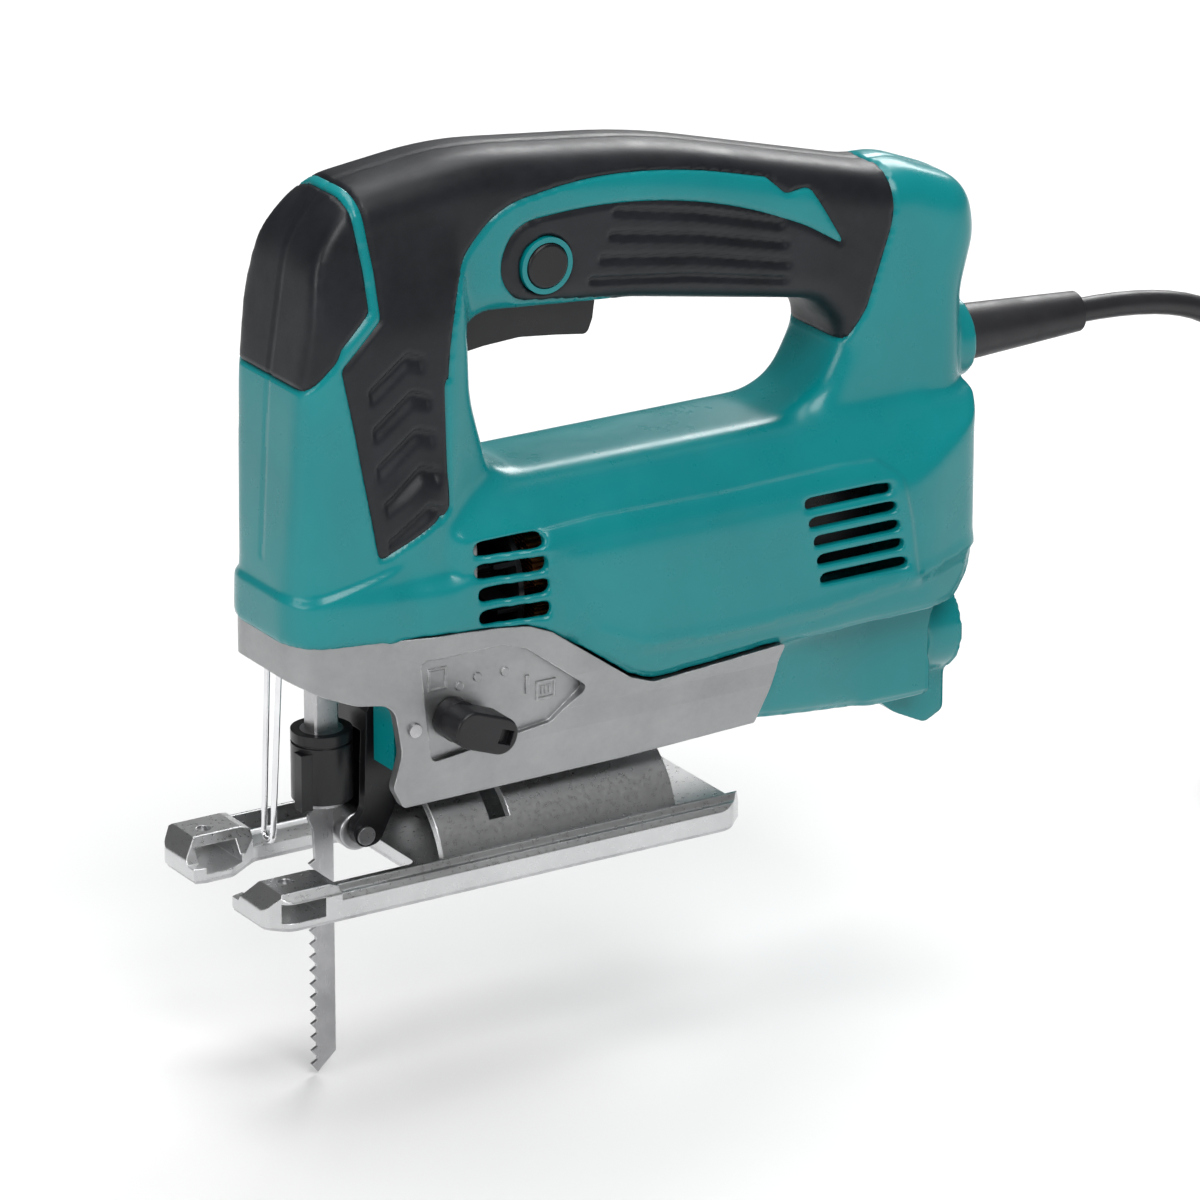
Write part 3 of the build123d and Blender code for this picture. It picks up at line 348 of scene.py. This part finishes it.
# ---- cord ------------------------------------------------------------------------------------
CORD_D = 7.5 * MM
CORD_ROUTE = [
    (262.0, 0.0, 125.4), (296.0, 0.0, 125.4), (330.0, 5.0, 106.0),
    (344.0, 19.0, 71.0), (346.0, 33.6, 33.0), (345.5, 36.8, -9.4),
    (342.5, 25.0, -31.4), (339.8, 4.5, -43.9), (339.6, -19.0, -44.4),
]
COIL_CENTRE = (377.3, -4.0)
COIL_LAYERS = (-44.4, -51.4, -58.2)
COIL_RADII = (40.0, 47.3, 32.6)
COIL_TURNS = 7
TURN_POINTS = 16
CROSSING_POINTS = 5


def coil_points():
    """Turns that lie beside and on each other, from the top layer down. Each crosses over at its end."""
    start = math.atan2(CORD_ROUTE[-1][1] - COIL_CENTRE[1], CORD_ROUTE[-1][0] - COIL_CENTRE[0])
    points = []
    rows = [(r, z) for z in COIL_LAYERS for r in COIL_RADII][:COIL_TURNS]
    for turn, (r, z) in enumerate(rows):
        after = rows[min(turn + 1, len(rows) - 1)]
        for k in range(TURN_POINTS):
            share = max(0.0, (k - TURN_POINTS + CROSSING_POINTS) / CROSSING_POINTS)
            blend = share * share * (3 - 2 * share)
            radius = r + (after[0] - r) * blend
            height = z + (after[1] - z) * blend
            angle = start + 2 * math.pi * (turn + (k + 1) / TURN_POINTS)
            points.append((
                COIL_CENTRE[0] + radius * math.cos(angle),
                COIL_CENTRE[1] + radius * math.sin(angle),
                height,
            ))
    return points


def make_cord():
    """The mains cord, one curve from the strain relief to the end of the coil."""
    data = bpy.data.curves.new("power_cord", "CURVE")
    data.dimensions = "3D"
    data.resolution_u = 8
    data.bevel_depth = CORD_D / 2
    data.bevel_resolution = 6
    data.use_fill_caps = True
    points = CORD_ROUTE + coil_points()
    spline = data.splines.new("NURBS")
    spline.points.add(len(points) - 1)
    for point, (x, y, z) in zip(spline.points, points):
        point.co = (x * MM, y * MM, z * MM, 1.0)
    spline.order_u = 3
    spline.use_endpoint_u = True
    data.materials.append(CORD_SKIN)
    cord = bpy.data.objects.new("power_cord", data)
    bpy.context.scene.collection.objects.link(cord)
    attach(cord, "housing")
    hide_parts("cord", "cord_coil")


make_cord()


# ---- outlines shared by the skin pieces ------------------------------------------------------
OUTLINE_SPACING = 0.7
MOST_OF_A_SIDE = 0.96
CORNER_POINTS = 9


def rounded(points):
    """A closed outline through (x, z, radius) corners, as points about OUTLINE_SPACING apart, in mm."""
    count, path, reach, share = len(points), [], [], [1.0] * len(points)
    for i, (u, v, r) in enumerate(points):
        (au, av, _), (bu, bv, _) = points[i - 1], points[(i + 1) % count]
        swing = math.atan2(bv - v, bu - u) - math.atan2(v - av, u - au)
        turn = abs((swing + math.pi) % (2 * math.pi) - math.pi)
        reach.append(r * math.tan(turn / 2))
    for i in range(count):
        j = (i + 1) % count
        side = math.dist(points[i][:2], points[j][:2])
        if reach[i] + reach[j] > MOST_OF_A_SIDE * side:
            part = MOST_OF_A_SIDE * side / (reach[i] + reach[j])
            share[i], share[j] = min(share[i], part), min(share[j], part)
    for i, (u, v, _) in enumerate(points):
        here = np.array((u, v))
        before = np.array(points[i - 1][:2]) - here
        after = np.array(points[(i + 1) % count][:2]) - here
        cut = reach[i] * share[i]
        a = here + before / np.linalg.norm(before) * cut
        b = here + after / np.linalg.norm(after) * cut
        if cut == 0:
            path.append(here)
            continue
        for t in np.linspace(0, 1, CORNER_POINTS):
            path.append((1 - t) ** 2 * a + 2 * t * (1 - t) * here + t * t * b)
    dense = []
    for a, b in zip(path, path[1:] + path[:1]):
        pieces = max(1, int(np.linalg.norm(b - a) / OUTLINE_SPACING))
        dense += [a + (b - a) * k / pieces for k in range(pieces)]
    return np.array(dense)


GRIP_AREA = rounded([
    (6.2, 101.5, 2), (-0.8, 141.0, 8), (-4.6, 160.2, 3), (8.8, 172.6, 3), (8.2, 186.0, 12),
    (6.2, 203.0, 8), (2.4, 225.0, 0), (184.5, 225.0, 0), (185.2, 172.0, 30), (176.0, 146.0, 10),
    (169.0, 136.0, 4), (160.0, 139.0, 4), (120.0, 130.0, 0), (60.0, 156.0, 0), (33.0, 158.0, 0),
    (28.8, 150.0, 8), (29.6, 113.0, 3),
])
CRESCENT = rounded([
    (30.0, 148.0, 0), (31.4, 165.0, 200), (36.5, 182.5, 60), (50.0, 197.6, 40), (80.0, 201.9, 200),
    (112.0, 199.3, 300), (141.5, 191.6, 2), (147.5, 185.6, 3), (156.0, 186.5, 4), (168.2, 166.5, 1),
    (154.6, 174.8, 60), (127.0, 187.0, 200), (86.0, 193.6, 200), (55.0, 191.6, 20), (49.6, 177.0, 20),
    (56.5, 168.2, 10), (90.0, 163.2, 0), (90.0, 148.0, 0),
])
NOSE_AREA = rounded([
    (-25.0, 152.6, 0), (-14.5, 154.2, 14), (-5.6, 163.0, 8), (-4.4, 166.2, 2), (5.4, 175.2, 3),
    (4.8, 187.0, 12), (2.8, 203.4, 8), (-1.2, 225.0, 0), (-25.0, 225.0, 0),
])


def inside(outline, points):
    """Which (x, z) points lie inside a closed outline."""
    x, z = points[:, 0], points[:, 1]
    result = np.zeros(len(points), bool)
    for (ax, az), (bx, bz) in zip(outline, np.roll(outline, -1, axis=0)):
        if az == bz:
            continue
        crosses = (az > z) != (bz > z)
        result ^= crosses & (x < (bx - ax) * (z - az) / (bz - az) + ax)
    return result


def nearest(line, points, closed=True):
    """For each (x, z) point, the distance to a line of points and the closest place on it."""
    ends = np.roll(line, -1, axis=0) if closed else line[1:]
    starts = line if closed else line[:-1]
    best = np.full(len(points), 1e9)
    where = np.zeros_like(points)
    for a, b in zip(starts, ends):
        d = b - a
        t = np.clip(((points - a) @ d) / max(d @ d, 1e-12), 0, 1)
        on = a + t[:, None] * d
        gap = np.linalg.norm(points - on, axis=1)
        closer = gap < best
        best[closer] = gap[closer]
        where[closer] = on[closer]
    return best, where


# ---- skin of the clamshell and grips ---------------------------------------------------------
VOXEL = 0.001
SKIN_NODES = ["housing_left", "housing_right", "grip_left", "grip_right", "nose_pad"]
RELAX_ROUNDS = 40
RELAX_PULLS = (0.6, -0.25)
LARGEST_SNAP = 1.2  # mm
PARTING_DEPTH = 0.75  # mm


def joined_copy(names):
    """One mesh from several CAD nodes."""
    bm = bmesh.new()
    for name in names:
        bm.from_mesh(NODES[name].data)
    bmesh.ops.remove_doubles(bm, verts=bm.verts, dist=1e-6)
    mesh = bpy.data.meshes.new("joined")
    bm.to_mesh(mesh)
    bm.free()
    return mesh


def remeshed(mesh, voxel):
    """Even quads over the union of the mesh's closed parts: corner points and faces as arrays."""
    obj = bpy.data.objects.new("remesh_work", mesh)
    bpy.context.scene.collection.objects.link(obj)
    modifier = obj.modifiers.new("remesh", "REMESH")
    modifier.mode = "VOXEL"
    modifier.voxel_size = voxel
    modifier.adaptivity = 0.0
    bpy.context.view_layer.update()
    result = bpy.data.meshes.new_from_object(obj.evaluated_get(bpy.context.evaluated_depsgraph_get()))
    bpy.data.objects.remove(obj)
    points = np.empty(len(result.vertices) * 3)
    result.vertices.foreach_get("co", points)
    corners = np.empty(len(result.loops), np.int64)
    result.loops.foreach_get("vertex_index", corners)
    return points.reshape(-1, 3), corners.reshape(-1, 4)


def relax(points, faces, weight):
    """Moves each point towards the mean of its neighbours and back out a little, to keep the volume."""
    pairs = np.concatenate([faces[:, [k, (k + 1) % 4]] for k in range(4)])
    a = np.concatenate([pairs[:, 0], pairs[:, 1]])
    b = np.concatenate([pairs[:, 1], pairs[:, 0]])
    degree = np.maximum(np.bincount(a, minlength=len(points)), 1)
    for _ in range(RELAX_ROUNDS):
        for pull in RELAX_PULLS:
            total = np.stack([np.bincount(a, points[b, k], len(points)) for k in range(3)], 1)
            mean = total / degree[:, None]
            points = points + (mean - points) * (weight * pull)[:, None]
    return points


def normals_of(points, faces):
    """Unit normals at the points of quads, weighted by area."""
    p = points[faces]
    n = np.cross(p[:, 2] - p[:, 0], p[:, 3] - p[:, 1])
    out = np.zeros_like(points)
    for k in range(4):
        for axis in range(3):
            out[:, axis] += np.bincount(faces[:, k], n[:, axis], len(points))
    return out / np.maximum(np.linalg.norm(out, axis=1), 1e-12)[:, None]


def step(value, low, high):
    """0 at low, 1 at high, with a smooth run between."""
    t = np.clip((value - low) / (high - low), 0, 1)
    return t * t * (3 - 2 * t)


def groove(distance, half, depth):
    """A rounded channel along a line."""
    return -depth * (1 - step(distance, 0.25 * half, half))


CRISP_BOXES = [
    ((142, 186), (66, 100)),   # rear cooling slots
    ((33, 62), (74, 106)),     # front cooling slots
    ((178, 222), (0, 50)),     # dust port
    ((200, 222), (108, 144)),  # cord gland
    ((-30, 62), (60, 82)),     # lower edge over the gear case
]


def crisp_places(p):
    """Weights of the smoothing: 1 over even areas, near 0 at slots, ports and cut edges. p is in mm."""
    x, y, z = p.T
    keep = np.ones(len(p))
    for (x0, x1), (z0, z1) in CRISP_BOXES:
        gap = np.maximum.reduce([x0 - x, x - x1, z0 - z, z - z1])
        keep = np.minimum(keep, 0.12 + 0.88 * step(gap, 0, 5))
    # the trigger's slot, and the seat of the ring on the left side
    slot_gap = np.maximum.reduce([38 - x, x - 92, 145 - z, z - 172, np.abs(y) - 12])
    ring_gap = np.abs(np.hypot(x - 65.7, z - 178.0) - 8.4)
    keep = np.minimum(keep, 0.2 + 0.8 * step(slot_gap, 0, 3))
    keep = np.minimum(keep, np.where(y < 0, 0.1 + 0.9 * step(ring_gap, 1.0, 4.0), 1.0))
    return keep


CHEVRON = np.array([(4.8, 152.0), (16.6, 160.6), (21.2, 158.9)])
CHEVRON_PITCH = np.array((1.3, -11.3))
CHEVRON_COUNT = 5
HANDLE_LINES = [
    ((89.5, 190.1), (117.5, 184.6), (145.7, 176.9)),
    ((88.1, 183.2), (118.5, 177.9), (146.8, 170.9)),
    ((84.8, 176.6), (117.0, 171.7), (147.9, 164.6)),
    ((81.4, 170.5), (115.0, 166.0), (147.2, 159.4)),
]
RIDGE = np.array([
    (52.0, 101.6), (75.0, 102.6), (118.7, 101.9), (160.0, 102.6), (172.0, 102.0), (178.5, 97.0),
    (181.5, 84.0), (184.0, 66.0),
])
RIDGE_HEIGHT = 0.9
LEDGE = np.array([
    (58.0, 92.0), (62.2, 84.0), (72.9, 69.5), (89.0, 62.2), (113.3, 60.8), (150.0, 61.4),
    (186.0, 65.4), (216.0, 69.0),
])
LEDGE_DEPTH = 0.9
PANEL_HEIGHT = 0.5
FLARE = np.array([(-24.0, 94.5), (-15.5, 92.7), (2.5, 97.4), (14.0, 101.0)])
FLARE_HEIGHT = 1.0
SEAM_HALF, SEAM_DEPTH = 1.2, 0.3


def chevron_cuts(part):
    """The pockets under the five chevrons on the head, and the channel along each, at (x, z) points."""
    cut = np.zeros(len(part))
    for i in range(CHEVRON_COUNT):
        line = CHEVRON + CHEVRON_PITCH * i
        gap, _ = nearest(line, part, closed=False)
        crest = np.interp(part[:, 0], line[:, 0], line[:, 1])
        slope = step(part[:, 1] - crest, -5.0, 0.6)
        lower = (part[:, 1] < crest + 0.6) & (gap < 5.0)
        in_span = (part[:, 0] > line[0, 0] - 1) & (part[:, 0] < line[2, 0] + 1)
        cut = np.minimum(cut, np.where(lower & in_span, -1.5 * slope, 0) * step(gap, 7, 3))
        cut = np.minimum(cut, groove(gap, 1.6, 1.3))
    return cut


def handle_cuts(part):
    """The four long channels on each side of the handle, at (x, z) points."""
    cut = np.zeros(len(part))
    for line in HANDLE_LINES:
        gap, _ = nearest(np.array(line), part, closed=False)
        cut = np.minimum(cut, groove(gap, 1.7, 1.2))
    return cut


def relief(p, normal):
    """Height of the moulded detail at each point, in mm, along the normal. p is in mm."""
    x, y, z = p.T
    flat = p[:, [0, 2]]
    side = step(normal[:, 1] * np.sign(y), 0.25, 0.6)  # 1 on faces that look outward, 0 elsewhere
    height = np.zeros(len(p))
    near_head = (x < 34) & (z > 96) & (z < 172)
    height[near_head] += chevron_cuts(flat[near_head]) * side[near_head]
    near_hand = (x > 76) & (x < 154) & (z > 154) & (z < 194)
    height[near_hand] += handle_cuts(flat[near_hand]) * side[near_hand]
    # the ridge that runs back under the hand hole and down at the tail
    ridge_gap, on = nearest(RIDGE, flat, closed=False)
    in_reach = (ridge_gap < 8) & (x > 50) & (z < 112)
    below = z < on[:, 1]
    fall = step(ridge_gap, 0, np.where(below, 7.0, 1.6))
    height += np.where(in_reach, RIDGE_HEIGHT * (1 - fall), 0) * side
    # the barrel's side panel stands out over the recessed band along the gear case
    ledge_gap, on = nearest(LEDGE, flat, closed=False)
    lower = (z < on[:, 1]) & (x > 58)
    panel = (z >= on[:, 1]) & (x > 52)
    height += np.where(lower, -LEDGE_DEPTH * step(ledge_gap, 0, 4.0) * step(x, 58, 64), 0) * side
    height += np.where(panel, PANEL_HEIGHT * (1 - step(ledge_gap, 0, 5.0)), 0) * side
    # the skirt round the foot of the head
    flare_gap, on = nearest(FLARE, flat, closed=False)
    under = (z < on[:, 1]) & (x < 16) & (z > 70)
    height += np.where(under, FLARE_HEIGHT * step(flare_gap, 0, 2.2), 0) * step(16 - x, 0, 8)
    # the seam between the two halves
    hand_hole = (x > 36) & (x < 172) & (z < 172)
    height += np.where((z > 100) & ~hand_hole, groove(np.abs(y), SEAM_HALF, SEAM_DEPTH), 0)
    return height


def object_from(name, points, faces, material, body, replaced):
    """A smooth piece from arrays, riding on a body in place of CAD nodes."""
    mesh = bpy.data.meshes.new(name)
    mesh.from_pydata(points.tolist(), [], faces.tolist())
    mesh.materials.append(material)
    mesh.shade_smooth()
    obj = bpy.data.objects.new(name, mesh)
    bpy.context.scene.collection.objects.link(obj)
    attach(obj, body)
    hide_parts(*replaced)


def compact(points, faces):
    """The points that the faces use, and the faces with their new indices."""
    used, index = np.unique(faces, return_inverse=True)
    return points[used], index.reshape(faces.shape)


def make_skin():
    """Clamshell, grips and nose pad: an even smooth skin, parted along the moulding lines."""
    points, faces = remeshed(joined_copy(SKIN_NODES), VOXEL)
    points = relax(points, faces, crisp_places(points / MM))
    flat = points[:, [0, 2]] / MM
    centre = flat[faces].mean(axis=1)
    grip = inside(GRIP_AREA, centre) & ~inside(CRESCENT, centre)
    nose = inside(NOSE_AREA, centre) & ~grip
    shell_id, grip_id, nose_id = 0, 1, 2
    region = np.where(grip, grip_id, np.where(nose, nose_id, shell_id))
    # points where two regions meet move onto the moulding line
    edges = np.concatenate([faces[:, [k, (k + 1) % 4]] for k in range(4)])
    owner = np.tile(region, 4)
    low = np.full(len(points), nose_id + 1)
    high = np.full(len(points), shell_id - 1)
    np.minimum.at(low, edges[:, 0], owner)
    np.maximum.at(high, edges[:, 0], owner)
    border = low != high
    lines = [GRIP_AREA, CRESCENT, NOSE_AREA]
    gaps, spots = zip(*[nearest(line, flat[border]) for line in lines])
    choice = np.argmin(np.stack(gaps), axis=0)
    target = np.stack(spots)[choice, np.arange(len(choice))]
    shift = np.clip(target - flat[border], -LARGEST_SNAP, LARGEST_SNAP) * MM
    points[np.ix_(border, [0, 2])] += shift
    normal = normals_of(points, faces)
    height = relief(points / MM, normal)
    height[border] -= PARTING_DEPTH
    points = points + normal * (height * MM)[:, None]
    left = points[faces][:, :, 1].mean(axis=1) < 0
    jobs = [
        ("shell_left", (region == shell_id) & left, TEAL, ["housing_left"], "teal"),
        ("shell_right", (region == shell_id) & ~left, TEAL, ["housing_right"], "teal"),
        ("soft_grip_left", (region == grip_id) & left, GRIP, ["grip_left"], "grip"),
        ("soft_grip_right", (region == grip_id) & ~left, GRIP, ["grip_right"], "grip"),
        ("nose_cover", region == nose_id, GRIP, ["nose_pad"], "grip"),
    ]
    for name, chosen, material, replaced, slot in jobs:
        part_points, part_faces = compact(points, faces[chosen])
        object_from(name, part_points, part_faces, material, "housing", replaced)


make_skin()


# ---- floor and light -------------------------------------------------------------------------
FLOOR_HALF = 6.0
LIGHT_TARGET = Vector((0.09, 0.0, 0.08))
LAMPS = [  # name, place, size, watts
    ("key", (-0.2, -1.6, 1.9), 1.3, 34.0),
    ("top", (0.3, 0.3, 2.2), 1.8, 34.0),
    ("front", (-1.9, -0.5, 0.8), 1.0, 12.0),
    ("rear_rim", (1.5, 1.2, 1.2), 0.9, 22.0),
]
WORLD_STRENGTH = 0.16


def make_floor():
    """A plain pale floor just under the blade's tip and the coil."""
    bm = bmesh.new()
    signs = ((-1, -1), (1, -1), (1, 1), (-1, 1))
    bm.faces.new([bm.verts.new((sx * FLOOR_HALF, sy * FLOOR_HALF, FLOOR_Z)) for sx, sy in signs])
    mesh = bpy.data.meshes.new("floor")
    bm.to_mesh(mesh)
    bm.free()
    material, tree, shader = base_material("pale_floor", roughness=0.7, specular=0.2)
    greys = [(0.3, (0.82, 0.82, 0.82)), (0.7, (0.85, 0.85, 0.85))]
    colour = ramp(tree, noise(tree, place(tree), 4.0), greys)
    tree.links.new(colour, shader.inputs["Base Color"])
    mesh.materials.append(material)
    floor = bpy.data.objects.new("floor", mesh)
    bpy.context.scene.collection.objects.link(floor)


def make_lights():
    """Four square soft lamps that face the tool, and a weak white world."""
    for name, place_at, size, watts in LAMPS:
        data = bpy.data.lights.new(name, "AREA")
        data.shape = "SQUARE"
        data.size = size
        data.energy = watts
        lamp = bpy.data.objects.new(name, data)
        lamp.location = place_at
        lamp.rotation_euler = (Vector(place_at) - LIGHT_TARGET).to_track_quat("Z", "Y").to_euler()
        bpy.context.scene.collection.objects.link(lamp)
    world = bpy.data.worlds.new("studio")
    bpy.context.scene.world = world
    world.use_nodes = True
    background = world.node_tree.nodes["Background"]
    background.inputs["Color"].default_value = (1.0, 1.0, 1.0, 1.0)
    background.inputs["Strength"].default_value = WORLD_STRENGTH
    bpy.context.scene.view_settings.view_transform = "Standard"


make_floor()
make_lights()
